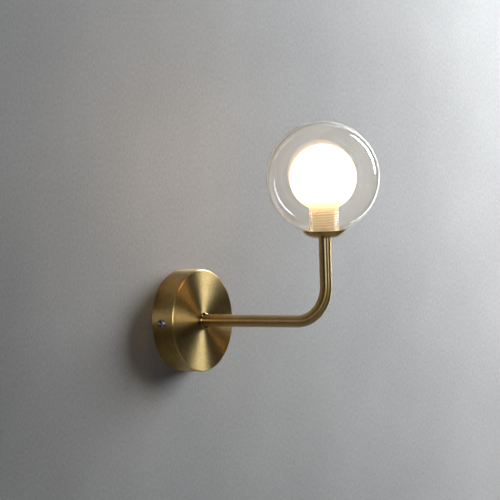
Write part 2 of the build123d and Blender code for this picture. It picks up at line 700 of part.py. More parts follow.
def dome_solid(radius, low):
    return rod(radius, low, dome_centre) + Pos(0, 0, dome_centre) * Sphere(radius)


def make_bulb_cover():
    cover = dome_solid(bulb_radius, bulb_shoulder) - dome_solid(bulb_radius - BULB_WALL, bulb_shoulder)
    return on_lamp(cover)


def make_bulb_board():
    board = block(BOARD_WIDTH, BOARD_THICKNESS, bulb_shoulder, dome_centre - BOARD_HEADROOM)
    return on_lamp(board)


def make_bulb_leds():
    """Square emitters in two columns on both faces of the board."""
    leds = []
    board_height = dome_centre - BOARD_HEADROOM - bulb_shoulder
    rows = int(board_height / LED_PITCH)
    first = bulb_shoulder + (board_height - (rows - 1) * LED_PITCH) / 2
    for row in range(rows):
        height = first + row * LED_PITCH
        for x in (-LED_PITCH / 2, LED_PITCH / 2):
            for side in (-1, 1):
                depth = side * (BOARD_THICKNESS + LED_THICKNESS) / 2
                led = Pos(x, depth, height) * Box(LED_SIZE, LED_THICKNESS, LED_SIZE)
                leds.append(on_lamp(led))
    return leds


# ---------------------------------------------------------------- wires

def make_lamp_wire(side, pole_x, loop_top):
    """Wire from a pole, through the arm, to a contact; side is -1 or +1 along X."""
    bush_standoff = base_nipple_back - BUSH_FLANGE
    turn_standoff = bush_standoff / 2
    track = side * WIRE_SPREAD / 2
    contact_x = side * PIN_SPACING / 2
    spread_start = top_nipple_end + BUSH_FLANGE
    spread_end = spread_start + (contact_base - spread_start) * WIRE_SPREAD_START
    points = [
        (pole_x, -pole_standoff, BLOCK_HEIGHT / 2 - WIRE_GRIP),
        (pole_x, -pole_standoff, loop_top),
        (track, -turn_standoff, loop_top),
        (track, -turn_standoff, 0),
        (track, -ARM_REACH, 0),
        (track, -ARM_REACH, spread_start),
        (contact_x, -ARM_REACH, spread_end),
        (contact_x, -ARM_REACH, contact_base),
    ]
    radii = corner_radii(points)
    radii[2] = min(radii[2], bush_standoff - turn_standoff)
    radii[3] = TUBE_BEND_RADIUS
    return wire(points, radii)


def make_live_wire():
    return make_lamp_wire(-1, block_centre + POLE_PITCH / 2, LIVE_LOOP_TOP)


def make_neutral_wire():
    return make_lamp_wire(1, block_centre - POLE_PITCH / 2, NEUTRAL_LOOP_TOP)


def make_earth_wire():
    """Wire from the arm's ring terminal round to the bracket's."""
    arm_barrel = barrel_mouth(nut_corners)
    bracket_barrel = barrel_mouth(EARTH_HEAD_DIAMETER / 2)
    front = arm_lug_face - barrel_radius
    back = BRACKET_THICKNESS + barrel_radius
    bend_x = EARTH_SCREW_OFFSET + EARTH_LOOP_WIDTH
    points = [
        (arm_barrel - LUG_BARREL_LENGTH / 2, -front, 0),
        (bend_x - WIRE_DIAMETER, -front, 0),
        (bend_x, -(front + back) / 2, EARTH_LOOP_TOP / 2),
        (bend_x - EARTH_LOOP_BACK, -back - EARTH_LOOP_BACK, EARTH_LOOP_TOP),
        (EARTH_SCREW_OFFSET, -back, EARTH_LOOP_TOP - WIRE_DIAMETER),
        (EARTH_SCREW_OFFSET, -back, bracket_barrel - LUG_BARREL_LENGTH / 2),
    ]
    return wire(points, corner_radii(points))


# ---------------------------------------------------------------- nodes

NODES = {
    "wall_bracket": [make_wall_bracket()],
    "canopy": [make_canopy()],
    "left_side_screw": [make_side_screw(-1)],
    "right_side_screw": [make_side_screw(1)],
    "terminal_block": [make_terminal_block()],
    "terminal_inserts": make_terminal_inserts(),
    "terminal_screws": make_terminal_screws(),
    "terminal_block_screw": [make_block_screw()],
    "earth_screw": [make_earth_screw()],
    "earth_lug_bracket": [make_earth_lug_bracket()],
    "earth_lug_arm": [make_earth_lug_arm()],
    "base_nipple": [make_base_nipple()],
    "canopy_lock_washer": [on_wall(lock_washer(arm_lug_face))],
    "canopy_nut": [on_wall(hex_nut(canopy_nut_face - NUT_THICKNESS))],
    "wire_bushes": [on_wall(wire_bush(base_nipple_back, 1)), on_lamp(wire_bush(top_nipple_end, -1))],
    "arm_collar": [make_arm_collar()],
    "arm_tube": [make_arm_tube()],
    "top_nipple": [make_top_nipple()],
    "cup": [make_cup()],
    "cup_nut": [on_lamp(hex_nut(cup_floor))],
    "holder_cap": [make_holder_cap()],
    "holder_lock_washer": [on_lamp(lock_washer(holder_washer_base))],
    "holder_nut": [on_lamp(hex_nut(holder_nut_base))],
    "holder_sleeve": [make_holder_sleeve()],
    "lampholder_body": [make_lampholder_body()],
    "lampholder_contacts": make_lampholder_contacts(),
    "shade_gasket": [make_shade_gasket()],
    "inner_globe": [make_inner_globe()],
    "outer_globe": [make_outer_globe()],
    "bulb_base": [make_bulb_base()],
    "bulb_pins": make_bulb_pins(),
    "bulb_cover": [make_bulb_cover()],
    "bulb_board": [make_bulb_board()],
    "bulb_leds": make_bulb_leds(),
    "live_wire": [make_live_wire()],
    "neutral_wire": [make_neutral_wire()],
    "earth_wire": [make_earth_wire()],
}


def write_parts():
    os.makedirs("parts", exist_ok=True)
    for name, shapes in NODES.items():
        solids = []
        for shape in shapes:
            solids += shape.solids()
        whole = solids[0] if len(solids) == 1 else Compound(solids)
        export_step(whole, os.path.join("parts", name + ".step"))


write_parts()
print("lamp axis standoff", ARM_REACH, "globe centre height", round(globe_centre, 2))
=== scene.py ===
import json
from math import cos, pi, radians, sin, sqrt, tau

import bpy
import numpy as np
from mathutils import Matrix, Quaternion, Vector


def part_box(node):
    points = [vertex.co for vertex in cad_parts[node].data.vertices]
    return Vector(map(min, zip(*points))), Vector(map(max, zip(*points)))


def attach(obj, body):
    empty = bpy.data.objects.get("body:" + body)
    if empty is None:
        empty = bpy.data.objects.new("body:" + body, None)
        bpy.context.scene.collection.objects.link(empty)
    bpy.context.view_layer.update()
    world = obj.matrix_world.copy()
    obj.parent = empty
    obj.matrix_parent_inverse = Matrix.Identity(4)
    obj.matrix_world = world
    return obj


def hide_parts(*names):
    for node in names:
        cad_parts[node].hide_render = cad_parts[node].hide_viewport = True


# Looks of the globe wall sconce: brushed and polished brass, a clear glass globe and a lit frosted ball.
# Lengths are in metres. The wall is the plane y = 0, and the lamp stands out towards -Y.

MM = 0.001

# ---------------------------------------------------------------- camera, as the photograph was taken

VIEW_AZIMUTH = radians(-54.33)
VIEW_ELEVATION = radians(2.13)
VIEW_ROLL = radians(1.687)
VIEW_DISTANCE = 4.0
VIEW_END = 60.0                  # nothing beyond this is drawn
VIEW_TARGET = Vector((0, -0.060, 0.060))
TARGET_PIXEL = (230.3, 259.3)
PIXELS_PER_METRE = 1026.9        # at the target's distance
FRAME_PIXELS = 500.0
SENSOR_WIDTH = 36.0

# ---------------------------------------------------------------- brass

BRASS = (0.54, 0.355, 0.108)
BRUSHED_TONES = ((0.35, 0.72), (0.65, 1.22), (1.0, 1.6))     # places on the ramp, and factors of the colour
POLISHED_TONES = ((0.3, 0.65), (0.7, 0.85))
BRUSHED_ROUGHNESS = 0.43
SATIN_ROUGHNESS = 0.34
WORN_ROUGHNESS = 0.30
CUP_ROUGHNESS = 0.25
LACQUER_IOR = 1.5                # clear lacquer over the brass
FINE_SCRATCH = 0.35 * MM
TURNED_SCRATCH = 2.0 * MM        # broad scratches of the canopy and the cup
TUBE_SCRATCH = 0.5 * MM
SCRATCH_DRIFT = 0.02             # how fast a scratch changes along its run, against across it
BROAD_SHARE = 0.75               # of the broad scratches against the fine ones
BRASS_CLOUD = 20 * MM
CLOUD_SHARE = 0.3                # of the clouds against the scratches
RIM_RUB_AND_HIGHLIGHT_REACH = 1.2 * MM            # how far the canopy's rubbed corner, with its painted highlight, reaches
RIM_RUB_AND_HIGHLIGHT_FULL = 0.6                  # share of that reach within which the rubbing and the painted highlight are full
RIM_HIGHLIGHT_TONE = 0.5                  # how far the painted rim highlight moves the colour along its ramp, towards lighter tones
BEND_RADIUS = 35 * MM            # of the arm's centre line

# ---------------------------------------------------------------- glass and its light

# The globe is blown a little out of true: one side of it leans, so that its mirror image of the ball stands
# beside the ball. The lean comes in slowly from the globe's middle.
LEANING_SIDE = (0.812, 0.583, 0)
LEAN = (0.0112, -0.0156, -0.0415)    # slope along X, Y and Z
LEAN_FULL = 28 * MM              # distance from the globe's middle where the lean is full
GLASS_WAVE = 28 * MM
GLASS_WAVE_HEIGHT = 0.025 * MM
THIN_GLASS = (0.97, 0.97, 0.96, 1)

NECK_LIGHT = (1.0, 0.73, 0.38)   # warm white, as it leaves the neck
LAMP_LIGHT = (1.0, 0.64, 0.30)   # the same light, as it leaves the frosted ball
BULB_LIGHT = (1.0, 0.80, 0.52, 1)
BALL_RADIANCE = 5.4
BULB_RADIANCE = 3.0
# The glows are factors of the neck's light at shares of a piece's height.
NECK_TOP = (0.27, 0.17)
NECK_GLOW = ((0.0, 0.55), (0.045, 0.06), (0.22, 0.11), NECK_TOP)
BALL_FOOT_GLOW = (NECK_TOP, (0.33, 0.33))
BALL_FULL = 0.41                 # of the height, where the ball glows in full
SLEEVE_GLOW = ((0.0, 0.40), (0.7, 0.46), (1.0, 0.22))

# ---------------------------------------------------------------- inner glass and lampholder sleeve

NECK_RADIUS = 14.0 * MM
GLASS_WALL = 1.6 * MM
NECK_BLEND = 3.0 * MM
FOOT_RADIUS = 16.0 * MM
FOOT_HEIGHT = 2.8 * MM
FOOT_ROUNDING = 0.6 * MM
THREAD_PITCH = 2.5 * MM
THREAD_START = 4.7 * MM          # above the lampholder's foot
THREAD_TURNS = 7
THREAD_FADE = 0.5                # turns over which a thread runs in and out
THREAD_FLANK = 0.3               # of the pitch
THREAD_WIDTH = 0.8               # of the pitch
GROOVE_DEPTH = 0.5 * MM          # in the glass
RIDGE_DEPTH = 0.8 * MM           # on the lampholder
ROOT_GLOW = 0.62                 # the sleeve's glow between its ridges, against 1 on them
SLEEVE_WALL = 0.75 * MM
SLEEVE_EDGE = 0.25 * MM
SLEEVE_LIP = 1.6 * MM
SLEEVE_LIP_THICKNESS = 1.2 * MM

SEGMENTS = 144                   # of a turned mesh, all round
THREAD_STEP = 0.2 * MM           # between the rows of a thread
TIP_ROWS = 5
BLEND_ROWS = 10
NECK_ROWS = 12
BALL_ROWS = 90
BALL_TOP = pi / 2 - 0.001        # angle just short of the pole, where faces would shrink to lines

# ---------------------------------------------------------------- stage

WALL_HALF_WIDTH = 3.0
WALL_TOP = 2.2
WALL_HOLE = 46 * MM              # radius, behind the canopy
FLOOR_HEIGHT = -1.5
FLOOR_HALF_SIZE = 6.0
STRIP_LEAN = radians(-12)        # of the tall strip lamp
WORLD_COLOUR = (1.0, 0.98, 0.94, 1)
WORLD_STRENGTH = 0.03


# ---------------------------------------------------------------- node helpers

def shade(colour, factor):
    """The colour made darker or lighter by this factor."""
    return tuple(min(part * factor, 1.0) for part in colour)


class Look:
    """A material with one Principled shader, and short ways to add the nodes that drive it."""

    def __init__(self, name, **values):
        self.material = bpy.data.materials.new(name)
        self.material.use_nodes = True
        self.tree = self.material.node_tree
        self.shader = self.tree.nodes["Principled BSDF"]
        self.output = self.tree.nodes["Material Output"]
        self.places = self.node("ShaderNodeTexCoord").outputs["Object"]
        for socket, value in values.items():
            self.shader.inputs[socket.replace("_", " ")].default_value = value

    def node(self, kind, inputs=(), **settings):
        """A new node; inputs maps a socket's name or number to a value or to another node's output."""
        made = self.tree.nodes.new(kind)
        for name, value in settings.items():
            setattr(made, name, value)
        for socket, value in dict(inputs).items():
            self.feed(made.inputs[socket], value)
        return made

    def feed(self, socket, value):
        if isinstance(value, bpy.types.NodeSocket):
            self.tree.links.new(value, socket)
        else:
            socket.default_value = value

    def drive(self, socket, value):
        self.feed(self.shader.inputs[socket], value)

    def surface(self, share, other):
        """Turns the finished surface into another shader by this share."""
        mix = self.node("ShaderNodeMixShader", {0: share, 1: self.shader.outputs[0], 2: other.outputs[0]})
        self.tree.links.new(mix.outputs[0], self.output.inputs["Surface"])

    def math(self, operation, *values):
        return self.node("ShaderNodeMath", enumerate(values), operation=operation).outputs[0]

    def vector_math(self, operation, *values):
        return self.node("ShaderNodeVectorMath", enumerate(values), operation=operation)

    def noise(self, size, detail=3.0, places=None, roughness=0.55):
        """Noise from 0 to 1 whose blotches are about this size, in metres."""
        made = self.node("ShaderNodeTexNoise", {
            "Vector": places or self.places, "Scale": 1 / size, "Detail": detail, "Roughness": roughness})
        return made.outputs["Fac"]

    def remap(self, value, low, high, start=0.25, end=0.75, smooth=False):
        """Value carried from the range start..end to low..high, in a straight line or in a smooth step."""
        made = self.node("ShaderNodeMapRange", {
            "Value": value, "From Min": start, "From Max": end, "To Min": low, "To Max": high},
            interpolation_type="SMOOTHSTEP" if smooth else "LINEAR")
        return made.outputs[0]

    def blend(self, value, other, share):
        """Value turned into the other one by this share."""
        return self.remap(share, value, other, 0.0, 1.0)

    def ramp(self, value, *stops):
        """Colour ramp through (position, colour) stops."""
        made = self.node("ShaderNodeValToRGB", {"Fac": value})
        elements = made.color_ramp.elements
        while len(elements) < len(stops):
            elements.new(0.5)
        for element, (position, colour) in zip(elements, stops):
            element.position = position
            element.color = (*colour, 1)
        return made.outputs["Color"]

    def tones(self, value, colour, *stops):
        """Ramp through darker and lighter tones of one colour, as (position, factor) stops."""
        return self.ramp(value, *((position, shade(colour, factor)) for position, factor in stops))

    def bump(self, height, depth, strength=1.0):
        made = self.node("ShaderNodeBump", {"Height": height, "Distance": depth, "Strength": strength})
        self.drive("Normal", made.outputs[0])

    def part(self, axis):
        """One coordinate of the object, 0 to 2 for X to Z."""
        return self.node("ShaderNodeSeparateXYZ", {0: self.places}).outputs[axis]

    def share_of_height(self, low, high):
        """Height in the object as a share from 0 at low to 1 at high."""
        return self.math("DIVIDE", self.math("SUBTRACT", self.part(2), low), high - low)

    def stretched(self, *scales):
        """The object's coordinates, each scaled, so that noise runs long where the scale is small."""
        return self.vector_math("MULTIPLY", self.places, scales).outputs[0]

    def from_axis(self, across, centre):
        """Offsets from an axis and the distance from it. across names the two coordinates across the axis,
        which stands at 0 in the first of them and at the centre in the second."""
        offsets = (self.part(across[0]), self.math("SUBTRACT", self.part(across[1]), centre))
        squares = [self.math("MULTIPLY", offset, offset) for offset in offsets]
        return offsets, self.math("SQRT", self.math("ADD", *squares))


# ---------------------------------------------------------------- brass

def streaks(look, lines, pitch, roughness, rubbed_and_highlit=0.0):
    """Drives colour, gloss and surface by fine brush lines over slow clouds.

    lines are coordinates that change fast across a scratch and slowly along it. The last argument is 1 at the
    rim, where the scratches are rubbed off and smoother, and where a painted highlight lightens the colour."""
    fine = look.noise(FINE_SCRATCH, detail=2.0, places=lines)
    broad = look.noise(pitch, places=lines, roughness=0.7)
    clouds = look.noise(BRASS_CLOUD)
    scratches = look.blend(fine, broad, BROAD_SHARE)
    mixed = look.blend(scratches, clouds, CLOUD_SHARE)
    # Painted highlight: the rim mask lightens the brass along its ramp of tones.
    lit = look.math("ADD", mixed, look.math("MULTIPLY", rubbed_and_highlit, RIM_HIGHLIGHT_TONE))
    look.drive("Base Color", look.tones(lit, BRASS, *BRUSHED_TONES))
    uneven = look.remap(scratches, roughness * 0.92, roughness * 1.08)
    look.drive("Roughness", look.blend(uneven, WORN_ROUGHNESS, rubbed_and_highlit))
    look.bump(look.blend(scratches, 0.5, rubbed_and_highlit), depth=0.02 * MM, strength=0.6)


def turned_brass(name, axis, centre, roughness, corner=None):
    """Brass brushed in circles about an axis, 1 for Y or 2 for Z, which stands at the centre across it.

    corner is where the brass is rubbed smooth and lightened by a painted highlight: its radius and its place
    along the axis."""
    look = Look(
        name, Metallic=1.0, Anisotropic=0.96, Anisotropic_Rotation=0.25,
        Coat_Weight=0.5, Coat_Roughness=0.06, Coat_IOR=LACQUER_IOR)
    across = [part for part in range(3) if part != axis]
    offsets, radius = look.from_axis(across, centre)
    line = look.math("ADD", radius, look.part(axis))
    slow = [look.math("MULTIPLY", look.math("DIVIDE", offset, radius), SCRATCH_DRIFT) for offset in offsets]
    lines = look.node("ShaderNodeCombineXYZ", {0: line, 1: slow[0], 2: slow[1]}).outputs[0]
    # Mask of the canopy's rim: rubbed smoother there, and lighter in colour as a painted highlight.
    rubbed_and_highlit = 0.0
    if corner is not None:
        edge, front = corner
        near_edge = look.remap(radius, 0, 1, edge - RIM_RUB_AND_HIGHLIGHT_REACH, edge - RIM_RUB_AND_HIGHLIGHT_FULL * RIM_RUB_AND_HIGHLIGHT_REACH)
        near_front = look.remap(look.part(axis), 0, 1, front + RIM_RUB_AND_HIGHLIGHT_REACH, front + RIM_RUB_AND_HIGHLIGHT_FULL * RIM_RUB_AND_HIGHLIGHT_REACH)
        rubbed_and_highlit = look.math("MULTIPLY", near_edge, near_front)
    streaks(look, lines, TURNED_SCRATCH, roughness, rubbed_and_highlit)
    tangent = look.node("ShaderNodeTangent", direction_type="RADIAL", axis="XYZ"[axis])
    look.drive("Tangent", tangent.outputs[0])
    return look.material


def bent_tube_brass(bend_y, bend_z):
    """Arm tube, brushed round and round: the gloss runs along the tube, also through its bend.

    The bend turns about the line through this y and z. The tube lies flat behind it and stands above it."""
    look = Look(
        "satin_brass_tube", Metallic=1.0, Anisotropic=1.0,
        Coat_Weight=1.0, Coat_Roughness=0.05, Coat_IOR=LACQUER_IOR)
    offsets = [look.math("SUBTRACT", look.part(axis), centre) for axis, centre in ((1, bend_y), (2, bend_z))]
    bent = [look.math("MINIMUM", offset, 0.0) for offset in offsets]
    straight = [look.math("MAXIMUM", offset, 0.0) for offset in offsets]
    along = look.node("ShaderNodeCombineXYZ", {1: look.math("MULTIPLY", bent[1], -1.0), 2: bent[0]})
    look.drive("Tangent", look.vector_math("NORMALIZE", along.outputs[0]).outputs[0])
    bend_run = look.math("MULTIPLY", look.math("ARCTAN2", *bent), BEND_RADIUS)
    run = look.math("ADD", look.math("SUBTRACT", straight[1], straight[0]), bend_run)
    slow = look.math("MULTIPLY", look.part(0), SCRATCH_DRIFT)
    lines = look.node("ShaderNodeCombineXYZ", {0: run, 1: slow})
    streaks(look, lines.outputs[0], TUBE_SCRATCH, SATIN_ROUGHNESS)
    return look.material


def polished_brass():
    look = Look(
        "polished_brass", Metallic=1.0, Roughness=0.10,
        Coat_Weight=1.0, Coat_Roughness=0.05, Coat_IOR=LACQUER_IOR)
    clouds = look.noise(3 * MM)
    look.drive("Base Color", look.tones(clouds, BRASS, *POLISHED_TONES))
    look.drive("Roughness", look.remap(clouds, 0.07, 0.13))
    look.bump(look.noise(0.8 * MM), depth=0.004 * MM, strength=0.3)
    return look.material


# ---------------------------------------------------------------- glass

def lets_lamps_through(look):
    """Lets lamps and soft light pass straight through a clear surface, as thin glass does."""
    path = look.node("ShaderNodeLightPath")
    passing = look.math("MAXIMUM", path.outputs["Is Shadow Ray"], path.outputs["Is Diffuse Ray"])
    look.surface(passing, look.node("ShaderNodeBsdfTransparent", {"Color": THIN_GLASS}))


def clear_glass(low, high):
    """Clear glass of a globe whose box goes from low to high, with a faint warm glow painted into it."""
    # Painted glow: a faint warm emission in the clear glass.
    look = Look(
        "clear_glass", Base_Color=(1.0, 0.997, 0.99, 1), Roughness=0.0, IOR=1.48, Transmission_Weight=1.0,
        Emission_Color=(1.0, 0.80, 0.48, 1), Emission_Strength=0.027)
    blown = look.noise(GLASS_WAVE, detail=1.0, places=look.stretched(1, 1, 0.6))
    waves = look.math("MULTIPLY", blown, GLASS_WAVE_HEIGHT)
    centre = ((low.x + high.x) / 2, (low.y + high.y) / 2, high.z - (high.x - low.x) / 2)
    offset = look.vector_math("SUBTRACT", look.places, centre).outputs[0]
    uphill, depth = (
        look.vector_math("DOT_PRODUCT", offset, way).outputs["Value"] for way in (LEAN, LEANING_SIDE))
    leaning = look.remap(depth, 0.0, 1.0, 0.0, LEAN_FULL, smooth=True)
    look.bump(look.math("ADD", waves, look.math("MULTIPLY", uphill, leaning)), depth=1.0)
    lets_lamps_through(look)
    return look.material


def frosted_ball(foot, top):
    """Frosted ball, lit from inside. The bulb's base leaves its bottom darker."""
    look = Look("lit_frosted_glass", Base_Color=(0.50, 0.47, 0.42, 1), Roughness=0.35)
    dim = [(place, shade(NECK_LIGHT, factor)) for place, factor in BALL_FOOT_GLOW]
    look.drive("Emission Color", look.ramp(look.share_of_height(foot, top), *dim, (BALL_FULL, LAMP_LIGHT)))
    look.drive("Emission Strength", BALL_RADIANCE)
    look.bump(look.noise(0.5 * MM, detail=2.0), depth=0.02 * MM, strength=0.3)
    return look.material


def lit_neck(foot, top):
    """Neck of the same glass. It pipes a little of the light down to its foot, whose edge shines."""
    look = Look(
        "lit_neck_glass", Base_Color=(1.0, 0.97, 0.92, 1), Roughness=0.14, IOR=1.15, Transmission_Weight=0.95,
        Emission_Strength=1.0)
    look.drive("Emission Color", look.tones(look.share_of_height(foot, top), NECK_LIGHT, *NECK_GLOW))
    look.bump(look.noise(0.6 * MM, detail=2.0), depth=0.01 * MM, strength=0.2)
    lets_lamps_through(look)
    return look.material


# ---------------------------------------------------------------- plastic, wires and the pieces inside

PLAIN_FINISHES = {
    "raw_brass": dict(colour=(0.66, 0.50, 0.24), grain=0.3 * MM, Metallic=1.0, Roughness=0.30),
    "zinc_steel": dict(colour=(0.60, 0.61, 0.62), grain=0.5 * MM, Metallic=1.0, Roughness=0.36),
    "bright_screw": dict(
        colour=(0.42, 0.43, 0.44), grain=0.4 * MM, spread=0.06, Metallic=1.0, Roughness=0.34),
    "tinned_copper": dict(colour=(0.68, 0.66, 0.62), grain=0.3 * MM, Metallic=1.0, Roughness=0.30),
    "white_ceramic": dict(colour=(0.82, 0.80, 0.76), grain=0.3 * MM, spread=0.05, Roughness=0.6),
    "terminal_plastic": dict(colour=(0.80, 0.80, 0.77), grain=0.6 * MM, spread=0.04, Roughness=0.42),
    "bush_nylon": dict(colour=(0.84, 0.84, 0.82), grain=0.5 * MM, spread=0.04, Roughness=0.45),
    "clear_silicone": dict(
        colour=(0.86, 0.86, 0.84), grain=1.0 * MM, spread=0.03, Roughness=0.35, Transmission_Weight=0.5),
    "bulb_diffuser": dict(
        colour=(0.93, 0.91, 0.86), grain=1.5 * MM, spread=0.03, Roughness=0.35,
        Emission_Color=BULB_LIGHT, Emission_Strength=BULB_RADIANCE),
    "led_board": dict(colour=(0.88, 0.88, 0.86), grain=0.8 * MM, spread=0.04, Roughness=0.35),
    "led_emitter": dict(
        colour=(0.92, 0.78, 0.30), grain=0.4 * MM, spread=0.06, Roughness=0.3,
        Emission_Color=BULB_LIGHT, Emission_Strength=BULB_RADIANCE),
    "brown_wire": dict(colour=(0.12, 0.055, 0.03), grain=0.6 * MM, spread=0.12, Roughness=0.45),
    "blue_wire": dict(colour=(0.03, 0.11, 0.36), grain=0.6 * MM, spread=0.12, Roughness=0.45),
}

STRIPE_SIDE = (0.72, 0.30, 0.62)     # a slanting direction, so that the stripes show on every run of the wire


def plain_finish(name, colour, grain, spread=0.10, **values):
    """A finish whose colour, gloss and surface vary with fine grain over broad clouds."""
    look = Look(name, **values)
    fine = look.noise(grain)
    clouds = look.noise(grain * 12, detail=2.0)
    mixed = look.blend(fine, clouds, 0.5)
    look.drive("Base Color", look.tones(mixed, colour, (0.3, 1 - spread), (0.7, 1 + spread)))
    roughness = values["Roughness"]
    look.drive("Roughness", look.remap(mixed, roughness * 0.8, roughness * 1.2))
    look.bump(fine, depth=0.02 * MM, strength=0.4)
    return look.material


def striped_earth_cover():
    """Green insulation with a yellow stripe along each side of the wire."""
    look = Look("earth_wire_cover", Roughness=0.45)
    normal = look.node("ShaderNodeNewGeometry").outputs["Normal"]
    side = look.vector_math("DOT_PRODUCT", normal, STRIPE_SIDE)
    stripe = look.math("ABSOLUTE", side.outputs["Value"])
    look.drive("Base Color", look.ramp(stripe, (0.42, (0.05, 0.28, 0.06)), (0.48, (0.80, 0.62, 0.05))))
    look.bump(look.noise(0.4 * MM), depth=0.01 * MM, strength=0.3)
    return look.material


def threaded_plastic(low, high, axis_y, root, crest):
    """Cream heat-resistant plastic of the sleeve between these heights, whose axis stands at axis_y.

    The lamp above shines through it, most on the ridges of the thread, from their root to their crest."""
    look = Look("holder_plastic", Roughness=0.5, IOR=1.5, Emission_Strength=1.0)
    grain = look.noise(0.35 * MM, detail=2.0)
    clouds = look.noise(8 * MM, detail=2.0)
    look.drive("Base Color", look.ramp(clouds, (0.3, (0.50, 0.42, 0.30)), (0.7, (0.56, 0.48, 0.35))))
    look.drive("Roughness", look.remap(grain, 0.42, 0.6))
    look.bump(grain, depth=0.015 * MM, strength=0.4)
    radius = look.from_axis((0, 1), axis_y)[1]
    on_ridge = look.remap(radius, ROOT_GLOW, 1.0, root, crest)
    glow = look.tones(look.share_of_height(low, high), NECK_LIGHT, *SLEEVE_GLOW)
    lit = look.node("ShaderNodeVectorMath", {0: glow, "Scale": on_ridge}, operation="SCALE")
    look.drive("Emission Color", lit.outputs[0])
    return look.material


def finishes():
    """Every material of the CAD nodes that stay, by the record's slot."""
    canopy_low, canopy_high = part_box("canopy")
    canopy_corner = (canopy_high.z, canopy_low.y)
    made = {name: plain_finish(name, **values) for name, values in PLAIN_FINISHES.items()}
    made["brushed_brass"] = turned_brass("brushed_brass", 1, 0.0, BRUSHED_ROUGHNESS, canopy_corner)
    made["satin_brass"] = polished_brass()
    made["clear_glass"] = clear_glass(*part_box("outer_globe"))
    made["earth_wire_cover"] = striped_earth_cover()
    return made


# ---------------------------------------------------------------- turned pieces with a screw thread

def arc(centre, radius, start, end, steps):
    """Points (distance from the axis, height) along an arc. Its angles are counted from outwards, upwards."""
    angles = np.linspace(start, end, steps)
    return [(centre[0] + radius * cos(angle), centre[1] + radius * sin(angle)) for angle in angles]


def thread_rows(start, end):
    """Heights of the mesh rows along a thread."""
    return list(np.linspace(start, end, int(abs(end - start) / THREAD_STEP) + 1))


def ridge(phase):
    """A thread's height from 0 to 1 over one turn: a rounded ridge, then a flat root."""
    rise = np.clip(np.minimum(phase, THREAD_WIDTH - phase) / THREAD_FLANK, 0, 1)
    return rise * rise * (3 - 2 * rise)


def thread_height(angles, height, low):
    """How far a right-hand thread that starts at low stands out, from 0 to 1, at these angles and height."""
    turns = (height - low) / THREAD_PITCH
    along = turns - angles / tau
    ends = np.clip(np.minimum(turns, THREAD_TURNS - turns) / THREAD_FADE, 0, 1)
    return ridge(along % 1.0) * ends


def turned(profile, depths, thread_low, axis_place):
    """Mesh turned about a vertical axis from a closed profile; depths gives each point's thread depth."""
    angles = np.linspace(0, tau, SEGMENTS, endpoint=False)
    vertices = []
    for (radius, height), depth in zip(profile, depths):
        radii = radius + depth * thread_height(angles, height, thread_low)
        for r, angle in zip(radii, angles):
            vertices.append((axis_place[0] + r * cos(angle), axis_place[1] + r * sin(angle), height))
    faces = []
    for row in range(len(profile)):
        this_row = row * SEGMENTS
        next_row = (row + 1) % len(profile) * SEGMENTS
        for column in range(SEGMENTS):
            beside = (column + 1) % SEGMENTS
            faces.append((this_row + column, this_row + beside, next_row + beside, next_row + column))
    return vertices, faces


def make_object(name, vertices, faces, materials):
    """Smooth-shaded mesh object, put into the scene."""
    mesh = bpy.data.meshes.new(name)
    mesh.from_pydata(vertices, [], faces)
    for material in materials:
        mesh.materials.append(material)
    for polygon in mesh.polygons:
        polygon.use_smooth = True
    mesh.validate()
    made = bpy.data.objects.new(name, mesh)
    bpy.context.scene.collection.objects.link(made)
    return made


def make_inner_glass(thread_low):
    """Frosted ball with its threaded neck and flared foot, as one glass wall."""
    low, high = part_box("inner_globe")
    ball = (high.x - low.x) / 2
    axis_place = ((low.x + high.x) / 2, (low.y + high.y) / 2)
    centre = high.z - ball
    foot = low.z
    blend_reach = NECK_RADIUS + NECK_BLEND
    blend_low = centre - sqrt((ball + NECK_BLEND) ** 2 - blend_reach ** 2)
    blend_centre = (blend_reach, blend_low)
    ball_start = np.arctan2(blend_low - centre, blend_reach)
    towards_ball = ball_start + pi
    flare = FOOT_RADIUS - NECK_RADIUS
    flare_top = foot + FOOT_HEIGHT - FOOT_ROUNDING + flare
    tip = (FOOT_RADIUS - FOOT_ROUNDING, foot + FOOT_ROUNDING)

    outside = arc(tip, FOOT_ROUNDING, -pi / 2, 0, TIP_ROWS)
    outside += arc((FOOT_RADIUS, flare_top), flare, 1.5 * pi, pi, BLEND_ROWS)
    outside += [(NECK_RADIUS, z) for z in np.linspace(flare_top, blend_low, NECK_ROWS)[1:-1]]
    outside += arc(blend_centre, NECK_BLEND, pi, towards_ball, BLEND_ROWS)
    outside += arc((0, centre), ball, ball_start, BALL_TOP, BALL_ROWS)[1:]
    inside = arc((0, centre), ball - GLASS_WALL, BALL_TOP, ball_start, BALL_ROWS)
    inside += arc(blend_centre, NECK_BLEND + GLASS_WALL, towards_ball, pi, BLEND_ROWS)[1:]
    bore = [(NECK_RADIUS - GLASS_WALL, z) for z in thread_rows(blend_low, foot + THREAD_STEP)[1:]]
    depths = [0.0] * len(outside + inside) + [GROOVE_DEPTH] * len(bore)
    vertices, faces = turned(outside + inside + bore, depths, thread_low, axis_place)
    made = make_object("inner_glass", vertices, faces, [frosted_ball(foot, high.z), lit_neck(foot, high.z)])
    for polygon in made.data.polygons:
        polygon.material_index = int(polygon.center.z < blend_low)
    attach(made, "shade")
    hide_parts("inner_globe")


